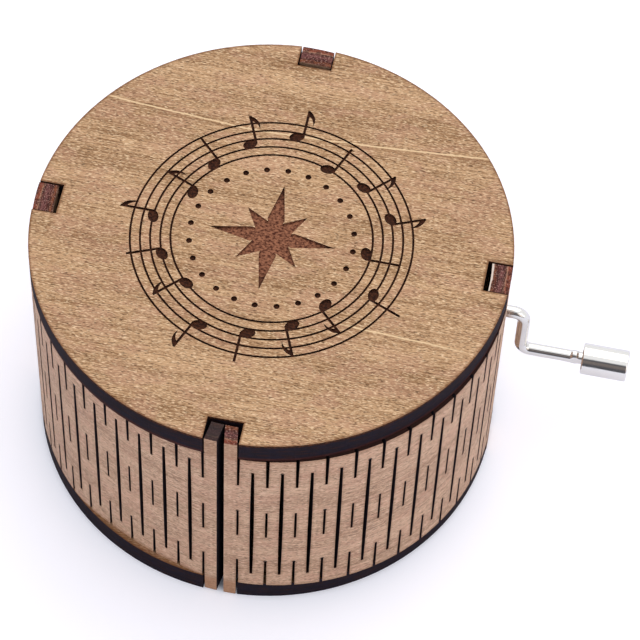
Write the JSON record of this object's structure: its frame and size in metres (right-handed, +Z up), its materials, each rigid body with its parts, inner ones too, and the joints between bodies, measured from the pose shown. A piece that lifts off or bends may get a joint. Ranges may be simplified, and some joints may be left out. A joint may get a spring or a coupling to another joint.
{
  "type": "hand-cranked music box",
  "caption": "Round plywood music box with a bendy slit wall between two discs, a side crank with a turning knob, and a worm-driven pinned drum and comb inside.",
  "frame": {"origin": "centre of the bottom disc's underside", "axes": "+Z up, +X towards the crank, -Y towards the seam where the wall's two ends meet"},
  "size_m": [0.0916, 0.072, 0.0453],
  "materials": {
    "lid_plywood": "bare walnut-brown plywood with charred laser-cut edges and an engraved ring of music notes round a star",
    "base_plywood": "bare walnut-brown plywood with charred laser-cut edges",
    "wall_plywood": "bare pinkish-tan plywood with charred slits",
    "zinc_casting": "die-cast zinc, satin",
    "screw_steel": "zinc-plated screws",
    "plated_steel": "nickel-plated pressed steel",
    "comb_steel": "ground hardened steel",
    "lead": "dull grey lead",
    "drum_brass": "turned brass",
    "pin_steel": "fine steel pins",
    "gear_plastic": "moulded off-white plastic",
    "shaft_steel": "turned steel",
    "worm_brass": "turned brass",
    "crank_nickel": "bright nickel-plated wire",
    "knob_nickel": "bright nickel-plated turned knob"
  },
  "bodies": {
    "case": {"top_disc": "lid_plywood", "bottom_disc": "base_plywood", "side_wall": "wall_plywood", "bedplate": "zinc_casting", "mount_screws": "screw_steel", "drum_bracket_front": "plated_steel", "drum_bracket_rear": "plated_steel", "bracket_screws": "screw_steel", "worm_bridge": "plated_steel", "bridge_screws": "screw_steel", "comb_base": "zinc_casting", "comb": "comb_steel", "bass_weights": "lead", "comb_screws": "screw_steel"},
    "drum": {"drum_tube": "drum_brass", "drum_pins": "pin_steel", "drum_cap_front": "drum_brass", "drum_cap_rear": "drum_brass", "drum_gear": "gear_plastic", "drum_arbor": "shaft_steel"},
    "crank": {"worm": "worm_brass", "worm_shaft": "shaft_steel", "shaft_clip": "shaft_steel", "crank_wire": "crank_nickel", "knob_retainer": "crank_nickel"},
    "knob": {"crank_knob": "knob_nickel"}
  },
  "joints": [
    {"name": "crank_turn", "type": "hinge", "parent": "case", "child": "crank", "pos_m": [0.005, 0.01, 0.0218], "axis": [1, 0, 0], "continuous": true},
    {"name": "drum_turn", "type": "hinge", "parent": "case", "child": "drum", "pos_m": [0.005, 0.01, 0.013], "axis": [0, 1, 0], "continuous": true},
    {"name": "knob_spin", "type": "hinge", "parent": "crank", "child": "knob", "pos_m": [0.052, 0.01, 0.0123], "axis": [1, 0, 0], "continuous": true}
  ],
  "couplings": [
    {"joint": "drum_turn", "follows": "crank_turn", "ratio": -0.0625}
  ]
}
